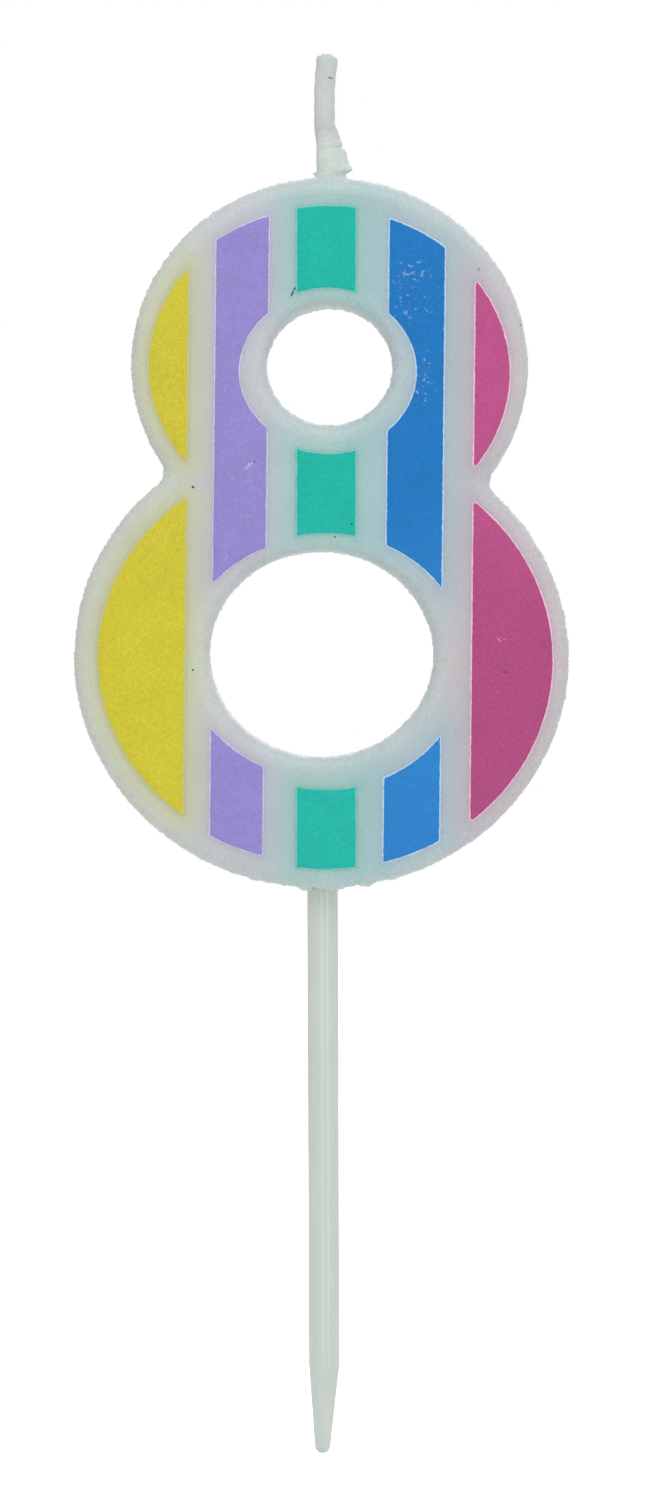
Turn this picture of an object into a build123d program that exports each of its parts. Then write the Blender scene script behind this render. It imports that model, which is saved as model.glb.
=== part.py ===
from build123d import *

import os
from math import cos, hypot, radians, sin, tan

# A number birthday candle, a figure 8: a flat cast wax figure with printed stripes on its
# front, a wax-dipped cotton wick at the top, and a plastic pick that holds it in a cake.
# Frame: the front faces -Y, +X is to its right and +Z is up. The origin is on the pick's
# axis, on the shoulder that the wax figure sits on. All sizes are in mm, all leans in degrees.

# ---- wax figure ----
THICKNESS = 8.0
FIGURE_LEAN = 1.6  # the cast figure stands a little to its right on the pick
FIGURE_SHIFT = -0.75  # its middle line meets the seat this far to the left of the pick
WAIST_RADIUS = 1.8
WAIST_HEIGHT = 41.3
WAIST_REACH = 3.0
FRONT_RIM = 1.5
BACK_RIM = 0.5
# Each outline is an ellipse on the figure's middle line: height of its centre, half width, half height
LOWER_LOBE = (23.1, 24.75, 23.1)
UPPER_LOBE = (52.5, 19.85, 18.68)
LOWER_HOLE = (23.5, 11.3, 10.35)
UPPER_HOLE = (52.4, 6.35, 6.0)

# ---- pick ----
SHANK_RADIUS = 1.5
SHANK_LENGTH = 47.7
POINT_RADIUS = 0.7
POINT_CONE_LENGTH = 8.4
TANG_RADIUS = 1.25
TANG_LENGTH = 10.0
TANG_CHAMFER = 0.4
SOCKET_CLEARANCE = 0.03  # radial, so that the figure draws off the pick
SOCKET_SPARE = 0.3  # room past the end of the tang
SEAT_GAP = 0.05  # between the pick's shoulder and the figure's underside

# ---- wick ----
WICK_RADIUS = 0.72
COAT_RADIUS = 1.0
COAT_EDGE = 0.15
# The wick's route in the X-Z plane, from the foot of its bore to its cut end
WICK_ROUTE = ((0.5, 62.2), (0.5, 73.2), (0.2, 76.8), (0.17, 80.2), (0.48, 83.6))
BEND_SHARE = 0.45  # of the shorter run beside a bend, taken up by the bend's arc
# The torn collar of wax that seals the wick in its bore, as level ellipses:
# height, left edge, right edge, half depth
COLLAR_LEVELS = (
    (70.9, -0.80, 2.50, 1.40),
    (72.6, -0.70, 2.70, 1.35),
    (74.4, -0.72, 1.90, 1.25),
    (76.9, -0.95, 1.40, 1.12),
)

# ---- print on the front ----
BASE_COAT = 0.04  # white ink laid down first
COLOUR_COAT = 0.06
BASE_SHOW = 0.12  # how far the white ink shows round each patch
PRINT_LEAN = 0.58  # the print is not quite in register with the figure
# The print's outlines, in the print's own leaning plane: centre across, centre up, half width, half height
PRINT_OUTER = ((0.0, 22.9, 22.74, 20.97), (0.1, 51.9, 18.05, 16.35))
PRINT_RINGS = ((0.08, 22.7, 14.03, 12.73), (0.02, 51.8, 8.85, 8.03))
PRINT_MIDDLE = 37.0
PRINT_REACH = 30.0
# Stripes: colour, left edge, right edge, turn against the print
STRIPES = (
    ("yellow", -PRINT_REACH, -14.0, 0.0),
    ("lilac", -11.02, -6.15, 0.0),
    ("teal", -3.0, 3.0, PRINT_LEAN),
    ("blue", 6.0, 11.65, 0.0),
    ("pink", 14.75, PRINT_REACH, 0.0),
)
PIECES_UPWARDS = {2: ("lower", "upper"), 3: ("lower", "middle", "upper")}


def front_plane(across, depth, foot, lean):
    """A plane that faces the front and whose upright leans to the right."""
    turn = radians(lean)
    return Plane(origin=(across, depth, foot), x_dir=(cos(turn), 0, -sin(turn)), z_dir=(0, -1, 0))


def bend_radii(route):
    """The arc at each corner takes the same share of the shorter run beside it."""
    radii = []
    for before, corner, after in zip(route, route[1:], route[2:]):
        run_in = Vector(*corner) - Vector(*before)
        run_out = Vector(*after) - Vector(*corner)
        half_turn = radians(run_in.get_angle(run_out)) / 2
        radii.append(BEND_SHARE * min(run_in.length, run_out.length) / tan(half_turn))
    return radii


def stripe_faces(left, right, turn, depth, spread):
    """One stripe of the print as flat faces, lowest first, each grown by spread."""
    with BuildSketch(front_plane(0, depth, 0, PRINT_LEAN)) as stripe:
        for across, up, half_width, half_height in PRINT_OUTER:
            with Locations((across, up)):
                Ellipse(half_width + spread, half_height + spread)
        for across, up, half_width, half_height in PRINT_RINGS:
            with Locations((across, up)):
                Ellipse(half_width - spread, half_height - spread, mode=Mode.SUBTRACT)
        with Locations(((left + right) / 2, PRINT_MIDDLE)):
            Rectangle(
                right - left + 2 * spread, 4 * PRINT_REACH, rotation=turn, mode=Mode.INTERSECT
            )
    return stripe.sketch.faces().sort_by(Axis.Z)


def save(piece, name):
    """Label a finished piece and write its file."""
    piece.part.label = name
    export_step(piece.part, f"parts/{name}.step")


os.makedirs("parts", exist_ok=True)

# ---- pick: one moulded rod, a thinner tang above its shoulder and a blunt point below ----
point_foot = -SHANK_LENGTH - POINT_CONE_LENGTH
with BuildPart() as pick:
    with BuildSketch(Plane.XZ):
        with BuildLine():
            Polyline(
                (0, point_foot - POINT_RADIUS),
                (0, TANG_LENGTH),
                (TANG_RADIUS - TANG_CHAMFER, TANG_LENGTH),
                (TANG_RADIUS, TANG_LENGTH - TANG_CHAMFER),
                (TANG_RADIUS, 0),
                (SHANK_RADIUS, 0),
                (SHANK_RADIUS, -SHANK_LENGTH),
                (POINT_RADIUS, point_foot),
            )
            CenterArc((0, point_foot), POINT_RADIUS, start_angle=-90, arc_size=90)
        make_face()
    revolve(axis=Axis.Z)
save(pick, "pick")

# ---- wick: a cotton cord, sunk into the top of the figure ----
wick_radii = bend_radii(WICK_ROUTE)
with BuildPart() as wick_core:
    with BuildLine(Plane.XZ) as wick_line:
        FilletPolyline(*WICK_ROUTE, radius=wick_radii)
    wick_path = wick_line.line
    with BuildSketch(Plane(origin=wick_path @ 0, z_dir=wick_path % 0)):
        Circle(WICK_RADIUS)
    sweep(path=wick_path)
save(wick_core, "wick_core")

# ---- wax figure: two lobes with their holes, a socket below and the wick's bore above ----
lean = radians(FIGURE_LEAN)
lobe_height, lobe_half_width, lobe_half_height = LOWER_LOBE
lobe_drop = hypot(lobe_half_width * sin(lean), lobe_half_height * cos(lean))
figure_foot = SEAT_GAP + lobe_drop - lobe_height * cos(lean)
with BuildPart() as wax_body:
    with BuildSketch(front_plane(FIGURE_SHIFT, 0, figure_foot, FIGURE_LEAN)):
        for height, half_width, half_height in (LOWER_LOBE, UPPER_LOBE):
            with Locations((0, height)):
                Ellipse(half_width, half_height)
        for height, half_width, half_height in (LOWER_HOLE, UPPER_HOLE):
            with Locations((0, height)):
                Ellipse(half_width, half_height, mode=Mode.SUBTRACT)
    extrude(amount=THICKNESS / 2, both=True)
    waist = wax_body.edges().filter_by(Axis.Y).filter_by_position(
        Axis.Z, WAIST_HEIGHT - WAIST_REACH, WAIST_HEIGHT + WAIST_REACH
    )
    fillet(waist, WAIST_RADIUS)
    fillet(wax_body.faces().sort_by(Axis.Y)[0].edges(), FRONT_RIM)
    fillet(wax_body.faces().sort_by(Axis.Y)[-1].edges(), BACK_RIM)
    with Locations(Plane(origin=(0, 0, 0), z_dir=(0, 0, -1))):
        Hole(TANG_RADIUS + SOCKET_CLEARANCE, depth=TANG_LENGTH + SOCKET_SPARE)
    add(wick_core.part, mode=Mode.SUBTRACT)
save(wax_body, "wax_body")

# ---- wax skin on the wick, open at the cut end ----
with BuildPart() as wick_wax_coat:
    with BuildSketch(Plane(origin=wick_path @ 0, z_dir=wick_path % 0)):
        Circle(COAT_RADIUS)
    sweep(path=wick_path)
    fillet(wick_wax_coat.faces().sort_by(Axis.Z)[-1].edges(), COAT_EDGE)
    add(wax_body.part, mode=Mode.SUBTRACT)
    add(wick_core.part, mode=Mode.SUBTRACT)
save(wick_wax_coat, "wick_wax_coat")

# ---- torn wax collar round the wick's root ----
with BuildPart() as wick_wax_collar:
    for height, left, right, half_depth in COLLAR_LEVELS:
        with BuildSketch(Plane.XY.offset(height)):
            with Locations(((left + right) / 2, 0)):
                Ellipse((right - left) / 2, half_depth)
    loft()
    for neighbour in (wax_body, wick_wax_coat, wick_core):
        add(neighbour.part, mode=Mode.SUBTRACT)
save(wick_wax_collar, "wick_wax_collar")

# ---- print: a white coat under every patch, then one colour patch over each ----
white_depth = -THICKNESS / 2
colour_depth = white_depth - BASE_COAT
with BuildPart() as print_white_base:
    for colour, left, right, turn in STRIPES:
        for face in stripe_faces(left, right, turn, white_depth, BASE_SHOW):
            extrude(face, amount=BASE_COAT, dir=(0, -1, 0))
save(print_white_base, "print_white_base")

for colour, left, right, turn in STRIPES:
    faces = stripe_faces(left, right, turn, colour_depth, 0)
    for place, face in zip(PIECES_UPWARDS[len(faces)], faces):
        with BuildPart() as patch:
            extrude(face, amount=COLOUR_COAT, dir=(0, -1, 0))
        save(patch, f"print_{colour}_{place}")

print("wick bend radii, mm:", [round(radius, 1) for radius in wick_radii])
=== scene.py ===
# %% [markdown]
# # A number candle, a figure 8
# The real candle is a flat wax figure cast in an open mould. Its front is printed with colour
# stripes, a wax-dipped wick stands out of its top, and a plastic pick is pushed into its foot.
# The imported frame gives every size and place. Each piece here is made where the frame has it,
# in metres, and rides on the same body as the frame's own node.

# %% Load the frame
import math
from functools import partial

import bmesh
import bpy
import numpy as np
from mathutils import Matrix, Vector, kdtree, noise
from mathutils.geometry import delaunay_2d_cdt


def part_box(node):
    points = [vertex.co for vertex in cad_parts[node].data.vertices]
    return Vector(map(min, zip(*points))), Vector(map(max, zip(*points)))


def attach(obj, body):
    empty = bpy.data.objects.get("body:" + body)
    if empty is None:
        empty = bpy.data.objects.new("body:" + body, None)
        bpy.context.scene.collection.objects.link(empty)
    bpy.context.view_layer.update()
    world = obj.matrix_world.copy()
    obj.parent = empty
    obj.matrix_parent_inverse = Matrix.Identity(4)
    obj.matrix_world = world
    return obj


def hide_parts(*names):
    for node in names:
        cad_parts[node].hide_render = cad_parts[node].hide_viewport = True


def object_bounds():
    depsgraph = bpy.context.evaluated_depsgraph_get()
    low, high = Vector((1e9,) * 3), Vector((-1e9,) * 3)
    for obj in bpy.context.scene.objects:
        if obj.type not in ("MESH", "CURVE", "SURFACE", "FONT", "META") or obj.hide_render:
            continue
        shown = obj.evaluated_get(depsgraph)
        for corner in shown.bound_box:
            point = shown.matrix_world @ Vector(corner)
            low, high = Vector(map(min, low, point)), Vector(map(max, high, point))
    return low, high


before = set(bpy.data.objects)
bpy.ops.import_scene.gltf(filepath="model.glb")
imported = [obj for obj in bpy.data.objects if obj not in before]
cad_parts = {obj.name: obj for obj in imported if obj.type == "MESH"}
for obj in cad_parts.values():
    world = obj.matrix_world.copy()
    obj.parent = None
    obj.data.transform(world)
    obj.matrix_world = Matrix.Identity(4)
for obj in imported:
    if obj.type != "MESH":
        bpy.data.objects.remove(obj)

MM = 0.001
cad_low, cad_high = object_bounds()
print("frame box, mm:", [round(side / MM, 1) for side in cad_high - cad_low])

# %% [markdown]
# ## Helpers
# A node tree is easier to read when each node is made, set and wired in one call. The same
# helpers serve shader trees and Geometry Nodes trees, because both have sockets with names.

# %% Nodes, objects and colours
def wire(tree, node, inputs):
    """Give each named input of a node a value or a link."""
    for key, value in inputs.items():
        if isinstance(value, bpy.types.NodeSocket):
            tree.links.new(value, node.inputs[key])
        else:
            node.inputs[key].default_value = value


def add(tree, kind, inputs=None, **settings):
    """Make a node, set its properties, then wire its inputs."""
    made = tree.nodes.new(kind)
    for key, value in settings.items():
        setattr(made, key, value)
    wire(tree, made, inputs or {})
    return made


def new_group(name, kind, inputs, outputs):
    """A node group with named inputs, each with its own starting value, and named outputs."""
    tree = bpy.data.node_groups.new(name, kind)
    for label, socket, start in inputs:
        made = tree.interface.new_socket(label, in_out="INPUT", socket_type=socket)
        if start is not None:
            made.default_value = start
    for label, socket in outputs:
        tree.interface.new_socket(label, in_out="OUTPUT", socket_type=socket)
    return tree, tree.nodes.new("NodeGroupInput"), tree.nodes.new("NodeGroupOutput")


def sum_of(tree, operation, *values, clamp=False):
    """One Math node on values or sockets."""
    inputs = dict(enumerate(values))
    return add(tree, "ShaderNodeMath", inputs, operation=operation, use_clamp=clamp).outputs[0]


def mapped(tree, value, source, target=(0.0, 1.0), smooth=False):
    """One Map Range node, from a source range to a target range."""
    ends = dict(zip(("From Min", "From Max", "To Min", "To Max"), (*source, *target)))
    kind = "SMOOTHSTEP" if smooth else "LINEAR"
    made = add(tree, "ShaderNodeMapRange", {"Value": value, **ends}, interpolation_type=kind)
    return made.outputs["Result"]


def mix_colour(tree, share, first, second, blend="MIX"):
    """One Mix node on two colours."""
    inputs = {0: share, 6: first, 7: second}
    return add(tree, "ShaderNodeMix", inputs, data_type="RGBA", blend_type=blend).outputs[2]


def scaled(tree, vector, factor):
    """A vector or a colour times one number."""
    inputs = {0: vector, "Scale": factor}
    return add(tree, "ShaderNodeVectorMath", inputs, operation="SCALE").outputs[0]


def length_of(tree, vector):
    """The length of a vector."""
    return add(tree, "ShaderNodeVectorMath", {0: vector}, operation="LENGTH").outputs["Value"]


def object_place(tree):
    """Where a point lies on its object."""
    return add(tree, "ShaderNodeTexCoord").outputs["Object"]


def bumped(tree, height, strength, distance, under=None, invert=False):
    """The normal of a surface with small heights on it, over another normal if there is one."""
    inputs = {"Strength": strength, "Distance": distance, "Height": height}
    if under is not None:
        inputs["Normal"] = under
    return add(tree, "ShaderNodeBump", inputs, invert=invert).outputs[0]


def new_finish(name):
    """A material, its node tree and its shader."""
    material = bpy.data.materials.new(name)
    material.use_nodes = True
    return material, material.node_tree, material.node_tree.nodes["Principled BSDF"]


def place_object(name, data):
    """An object for some data, in the scene."""
    made = bpy.data.objects.new(name, data)
    bpy.context.scene.collection.objects.link(made)
    return made


def linear(red, green, blue):
    """A screen colour, 0 to 255, as the linear colour that a shader takes."""
    def straight(part):
        share = part / 255
        return share / 12.92 if share <= 0.04045 else ((share + 0.055) / 1.055) ** 2.4
    return (straight(red), straight(green), straight(blue), 1.0)


# %% [markdown]
# ## Camera, lamps and floor
# A long lens from straight in front hides the walls inside the two holes, as in a catalogue
# view. White surroundings light the wax from all round, a large soft lamp above makes the upper
# edges brighter than the lower ones, and two tall narrow lamps beside the camera draw the two
# thin streaks down the round pick.

# %% Camera
LENS = 180.0
SENSOR = 36.0
VIEW_HEIGHT = 150.0 * MM  # what the long side of the picture takes in, at the figure's front
VIEW_ASIDE = 0.5 * MM
VIEW_RAISED = 0.46 * MM

view_centre = (cad_low + cad_high) / 2 + Vector((VIEW_ASIDE, 0, VIEW_RAISED))
camera_data = bpy.data.cameras.new("front_camera")
camera_data.lens = LENS
camera_data.sensor_width = SENSOR
camera_data.clip_start = 0.01
camera_data.clip_end = 20.0
camera = place_object("front_camera", camera_data)
camera_distance = VIEW_HEIGHT * LENS / SENSOR
camera.location = (view_centre.x, cad_low.y - camera_distance, view_centre.z)
camera.rotation_euler = (math.radians(90), 0, 0)
bpy.context.scene.camera = camera
print("camera distance, mm:", round(camera_distance / MM))

# %% Lamps and surroundings
LAMP_TARGET = Vector((0, 0, 0.02))
STREAK_ANGLES = {"left": -8, "right": 36}  # a rod mirrors them 0.07 and 0.31 of its radius off centre
STREAK_DISTANCE = 0.7
STREAK_SIZE = (0.012, 0.7)
STREAK_WATTS = 0.22
ROOM_LIGHT = 0.65  # what the surroundings give the candle, while the camera sees them full white


def area_lamp(name, place, size, watts):
    """A soft rectangular lamp that faces the figure and is not itself seen."""
    data = bpy.data.lights.new(name, "AREA")
    data.shape = "RECTANGLE"
    data.size, data.size_y = size
    data.energy = watts
    lamp = place_object(name, data)
    lamp.location = place
    lamp.rotation_euler = (LAMP_TARGET - Vector(place)).to_track_quat("-Z", "Y").to_euler()
    lamp.visible_camera = False


area_lamp("overhead_softbox", (0.02, -0.24, 0.32), (0.25, 0.18), 0.37)
area_lamp("back_fill", (0.15, 0.55, 0.35), (0.6, 0.6), 1.6)
for side, degrees in STREAK_ANGLES.items():
    across = STREAK_DISTANCE * math.sin(math.radians(degrees))
    back = -STREAK_DISTANCE * math.cos(math.radians(degrees))
    area_lamp(f"{side}_streak_lamp", (across, back, 0.0), STREAK_SIZE, STREAK_WATTS)

scene_world = bpy.data.worlds.new("white_surroundings")
bpy.context.scene.world = scene_world
scene_world.use_nodes = True
world_tree = scene_world.node_tree
world_tree.nodes.clear()
seen = add(world_tree, "ShaderNodeLightPath").outputs["Is Camera Ray"]
room = sum_of(world_tree, "MULTIPLY_ADD", seen, 1.0 - ROOM_LIGHT, ROOM_LIGHT)
room_shader = add(world_tree, "ShaderNodeBackground", {"Color": (1, 1, 1, 1), "Strength": room})
add(world_tree, "ShaderNodeOutputWorld", {"Surface": room_shader.outputs[0]})
bpy.context.scene.view_settings.view_transform = "Standard"

# %% Floor
FLOOR_DROP = 0.2 * MM
FLOOR_HALF = 3.0
FLOOR_GLOW = 0.7  # seen by the camera alone, so that the floor looks as white as the surroundings
floor_level = cad_low.z - FLOOR_DROP
floor_mesh = bpy.data.meshes.new("studio_floor")
floor_mesh.from_pydata(
    [(x * FLOOR_HALF, y * FLOOR_HALF, floor_level) for x, y in ((-1, -1), (1, -1), (1, 1), (-1, 1))],
    [],
    [(0, 1, 2, 3)],
)
floor = place_object("studio_floor", floor_mesh)
floor_paint, floor_tree, floor_shader = new_finish("white floor")
floor_seen = add(floor_tree, "ShaderNodeLightPath").outputs["Is Camera Ray"]
wire(
    floor_tree, floor_shader,
    {
        "Base Color": (0.9, 0.9, 0.9, 1),
        "Roughness": 0.9,
        "Specular IOR Level": 0.1,
        "Emission Color": (1, 1, 1, 1),
        "Emission Strength": sum_of(floor_tree, "MULTIPLY", floor_seen, FLOOR_GLOW),
    },
)
floor_mesh.materials.append(floor_paint)

# %% [markdown]
# ## Effects that several finishes share
# Wax and milky plastic both have a faint cloudiness and a skin that is not quite even. Printed
# ink has a fine grain, and here and there a speck where it did not take. Each effect is one
# node group, and every material places it with its own sizes, which are in mm.

# %% Making effects
MOST_NOISE = (0.3, 0.7)  # the range that nearly all of a noise falls in
WHOLE = (0.0, 1.0)


def new_effect(name, numbers, outputs):
    """A shader group that takes a place and named numbers: its tree, what it is given, its end."""
    inputs = [("Place", "NodeSocketVector", None)]
    inputs += [(label, "NodeSocketFloat", start) for label, start in numbers.items()]
    results = [(label, "NodeSocketFloat") for label in outputs]
    tree, group_in, group_out = new_group(name, "ShaderNodeTree", inputs, results)
    return tree, group_in.outputs, group_out


def effect(tree, group, inputs):
    """The outputs of one shared effect, placed in a tree."""
    return add(tree, "ShaderNodeGroup", inputs, node_tree=group).outputs


def sized_noise(tree, place, size, detail, roughness):
    """Noise whose features have about the given size, in mm."""
    inputs = {
        "Vector": scaled(tree, place, 1.0 / MM),
        "Scale": sum_of(tree, "DIVIDE", 1.0, size),
        "Detail": detail,
        "Roughness": roughness,
    }
    return add(tree, "ShaderNodeTexNoise", inputs).outputs["Fac"]


# %% Cloudiness of wax and milky plastic
cloud_group, given, made = new_effect(
    "cloudiness", {"Cloud Size": 6.0, "Grain Size": 0.35, "Grain Share": 0.25}, ("Cloud", "Skin")
)
clouds = sized_noise(cloud_group, given["Place"], given["Cloud Size"], 3.0, 0.55)
skin = sized_noise(cloud_group, given["Place"], given["Grain Size"], 2.0, 0.6)
blended = add(cloud_group, "ShaderNodeMix", {0: given["Grain Share"], 2: clouds, 3: skin})
wire(cloud_group, made, {"Cloud": blended.outputs[0], "Skin": skin})

# %% Grain of printed ink
ink_group, given, made = new_effect(
    "ink grain", {"Mesh Size": 0.22, "Patch Size": 3.0}, ("Grain", "Patchiness")
)
ink_grain = sized_noise(ink_group, given["Place"], given["Mesh Size"], 2.0, 0.7)
ink_patch = sized_noise(ink_group, given["Place"], given["Patch Size"], 3.0, 0.5)
wire(ink_group, made, {"Grain": ink_grain, "Patchiness": ink_patch})

# %% Specks where ink did not take
FULL_LEVEL = 0.74  # above this level of the noise a speck shows even where little is missing
LEVEL_RANGE = 0.22
SPECK_SOFTNESS = 0.07
fleck_group, given, made = new_effect("missed specks", {"Speck Size": 0.3, "Share": 0.5}, ("Mask",))
# Place is measured from the middle of the spoiled area, in half lengths of it, so that the
# area fades out at a length of one.
fade = mapped(fleck_group, length_of(fleck_group, given["Place"]), (0.35, 1.0), (1.0, 0.0), True)
specks = sized_noise(fleck_group, object_place(fleck_group), given["Speck Size"], 3.0, 0.7)
# The more of the ink is missing, the lower the level above which the noise shows as a speck
missing = sum_of(fleck_group, "MULTIPLY", fade, given["Share"])
lowered = sum_of(fleck_group, "MULTIPLY", missing, LEVEL_RANGE)
level = sum_of(fleck_group, "SUBTRACT", FULL_LEVEL, lowered)
shows = mapped(fleck_group, specks, (level, sum_of(fleck_group, "ADD", level, SPECK_SOFTNESS)))
within = sum_of(fleck_group, "MULTIPLY", fade, 8.0, clamp=True)
wire(fleck_group, made, {"Mask": sum_of(fleck_group, "MULTIPLY", shows, within)})

# %% Pits that air bubbles leave in a cast surface
pit_group, given, made = new_effect(
    "air pits", {"Pit Spacing": 3.0, "Pit Reach": 0.12, "Share": 0.4}, ("Pit",)
)
pit_cells = add(
    pit_group, "ShaderNodeTexVoronoi",
    {
        "Vector": scaled(pit_group, given["Place"], 1.0 / MM),
        "Scale": sum_of(pit_group, "DIVIDE", 1.0, given["Pit Spacing"]),
        "Randomness": 1.0,
    },
).outputs
# Each cell draws whether it holds a bubble, and how large the bubble is
pit_draw = add(pit_group, "ShaderNodeSeparateColor", {0: pit_cells["Color"]}).outputs
pit_size = sum_of(pit_group, "ADD", pit_draw[1], 0.3)
pit_reach = sum_of(pit_group, "MULTIPLY", given["Pit Reach"], pit_size)
from_pit = sum_of(pit_group, "DIVIDE", pit_cells["Distance"], pit_reach)
pit_depth = mapped(pit_group, from_pit, (0.5, 1.0), (1.0, 0.0), True)
pit_held = sum_of(pit_group, "LESS_THAN", pit_draw[0], given["Share"])
wire(pit_group, made, {"Pit": sum_of(pit_group, "MULTIPLY", pit_depth, pit_held)})

# %% Small dark spots: specks of dirt, a fibre, a nick
spot_group, given, made = new_effect("small spot", {"Softness": 0.5}, ("Mask",))
spot_edge = sum_of(spot_group, "SUBTRACT", 1.0, given["Softness"])
spot_mask = mapped(spot_group, length_of(spot_group, given["Place"]), (spot_edge, 1.0), (1.0, 0.0))
wire(spot_group, made, {"Mask": spot_mask})
SPOT_DEPTH = 0.7  # how far a spot reaches behind and before its own depth, in mm


def place_on(tree, centre, half_length, half_width, turn, depth=4.1, half_depth=5.0):
    """Object coordinates moved to a spot on the front, turned, and measured in half lengths."""
    inputs = {
        "Vector": object_place(tree),
        "Location": (centre[0] * MM, -depth * MM, centre[1] * MM),
        "Rotation": (0, math.radians(-turn), 0),
        "Scale": (half_length * MM, half_depth * MM, half_width * MM),
    }
    return add(tree, "ShaderNodeMapping", inputs, vector_type="TEXTURE").outputs[0]


def spotted(tree, shown, spots, dark):
    """A colour with small dark spots laid over it."""
    for *spot, depth in spots:
        place = place_on(tree, *spot, depth, SPOT_DEPTH)
        shown = mix_colour(tree, effect(tree, spot_group, {"Place": place})["Mask"], shown, dark)
    return shown


print("shared effects:", [group.name for group in bpy.data.node_groups])

# %% [markdown]
# ## Outlines from the frame
# A level cut through a node of the frame gives its outlines as closed loops. The figure is cut
# behind its socket, where only the outer wall and the two holes are met. Its loops are rounded
# into smooth curves, and the patches of print keep their corners.

# %% Cut loops
STRAIGHT = 1e-3  # the sine of a turn too small to count
CURVE_STEPS = 12
CUT_DEPTH = 2.5 * MM
OUTLINE_STEP = 0.15 * MM


def cut_loops(node, depth):
    """The closed outlines, as x-z rows, where a level cut at this depth meets a node."""
    work = bmesh.new()
    work.from_mesh(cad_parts[node].data)
    bmesh.ops.remove_doubles(work, verts=work.verts, dist=0.001 * MM)
    everything = work.verts[:] + work.edges[:] + work.faces[:]
    cut = bmesh.ops.bisect_plane(work, geom=everything, plane_co=(0, depth, 0), plane_no=(0, 1, 0))
    beside = {}
    for item in cut["geom_cut"]:
        if isinstance(item, bmesh.types.BMEdge):
            for here, there in (item.verts, reversed(item.verts)):
                beside.setdefault(here, []).append(there)
    loops = []
    while beside:
        here = next(iter(beside))
        walked = [here]
        while beside.get(here):
            there = beside[here].pop()
            beside[there].remove(here)
            for end in (here, there):
                if not beside[end]:
                    del beside[end]
            here = there
            walked.append(here)
        loops.append(np.array([(vert.co.x, vert.co.z) for vert in walked[:-1]]))
    work.free()
    return sorted(loops, key=len_round, reverse=True)


def len_round(loop):
    """The length all round a closed loop."""
    return float(np.linalg.norm(np.roll(loop, -1, axis=0) - loop, axis=1).sum())


def area_of(loop):
    """Signed area: positive where the loop runs anticlockwise as seen from the front."""
    ahead = np.roll(loop, -1, axis=0)
    return 0.5 * float((loop[:, 0] * ahead[:, 1] - ahead[:, 0] * loop[:, 1]).sum())


def without_flat_points(loop):
    """Drop the points in the middle of straight stretches."""
    run_in = loop - np.roll(loop, 1, axis=0)
    run_out = np.roll(loop, -1, axis=0) - loop
    turn = np.abs(run_in[:, 0] * run_out[:, 1] - run_in[:, 1] * run_out[:, 0])
    turn /= np.linalg.norm(run_in, axis=1) * np.linalg.norm(run_out, axis=1) + 1e-30
    return loop[turn > STRAIGHT]


def even_steps(loop, spacing):
    """The same closed loop cut into even steps of about the spacing."""
    closed = np.vstack([loop, loop[:1]])
    travelled = np.concatenate([[0.0], np.cumsum(np.linalg.norm(np.diff(closed, axis=0), axis=1))])
    count = max(8, round(travelled[-1] / spacing))
    marks = np.linspace(0, travelled[-1], count, endpoint=False)
    return np.stack([np.interp(marks, travelled, closed[:, axis]) for axis in (0, 1)], axis=1)


def rounded(loop, spacing):
    """A smooth curve through the loop's points, cut into even steps."""
    ahead = np.roll(loop, -1, axis=0)
    run = np.linalg.norm(ahead - loop, axis=1)[:, None]
    run_before = np.roll(run, 1, axis=0)
    slope = (ahead - loop) / run
    slope_before = np.roll(slope, 1, axis=0)
    tangent = (slope_before * run + slope * run_before) / (run + run_before)
    tangent_ahead = np.roll(tangent, -1, axis=0)
    share = np.linspace(0, 1, CURVE_STEPS, endpoint=False)[None, :, None]
    curve = (
        (2 * share**3 - 3 * share**2 + 1) * loop[:, None]
        + (share**3 - 2 * share**2 + share) * (run * tangent)[:, None]
        + (3 * share**2 - 2 * share**3) * ahead[:, None]
        + (share**3 - share**2) * (run * tangent_ahead)[:, None]
    )
    return even_steps(curve.reshape(-1, 2), spacing)


figure_low, figure_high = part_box("wax_body")
figure_loops = []
for number, loop in enumerate(cut_loops("wax_body", CUT_DEPTH)):
    loop = rounded(without_flat_points(loop), OUTLINE_STEP)
    # The outer outline runs anticlockwise and the holes clockwise, so wax is always on the left
    figure_loops.append(loop if (area_of(loop) > 0) == (number == 0) else loop[::-1])
print("figure outlines, mm round:", [round(len_round(loop) / MM, 1) for loop in figure_loops])

# %% [markdown]
# ## Filled outlines
# Flat areas are filled with an even field of small triangles between their outlines, so that
# the surface can swell a little and carry colour from point to point. A constrained Delaunay
# triangulation keeps the outline's own edges.

# %% Fill between loops
CLEAR_OF_EDGE = 0.6  # how near the lattice comes to an outline, in its own steps
FINEST = 1e-7  # mm


def inside(points, loops):
    """Which points lie between the loops, by counting crossings to the right."""
    found = np.zeros(len(points), bool)
    for loop in loops:
        ahead = np.roll(loop, -1, axis=0)
        for (x0, z0), (x1, z1) in zip(loop, ahead):
            if z0 == z1:
                continue
            spans = (z0 > points[:, 1]) != (z1 > points[:, 1])
            crossing = x0 + (points[:, 1] - z0) * (x1 - x0) / (z1 - z0)
            found ^= spans & (points[:, 0] < crossing)
    return found


def tree_of(points):
    """A search tree over x-z points."""
    tree = kdtree.KDTree(len(points))
    for index, (x, z) in enumerate(points):
        tree.insert((x, z, 0), index)
    tree.balance()
    return tree


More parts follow.
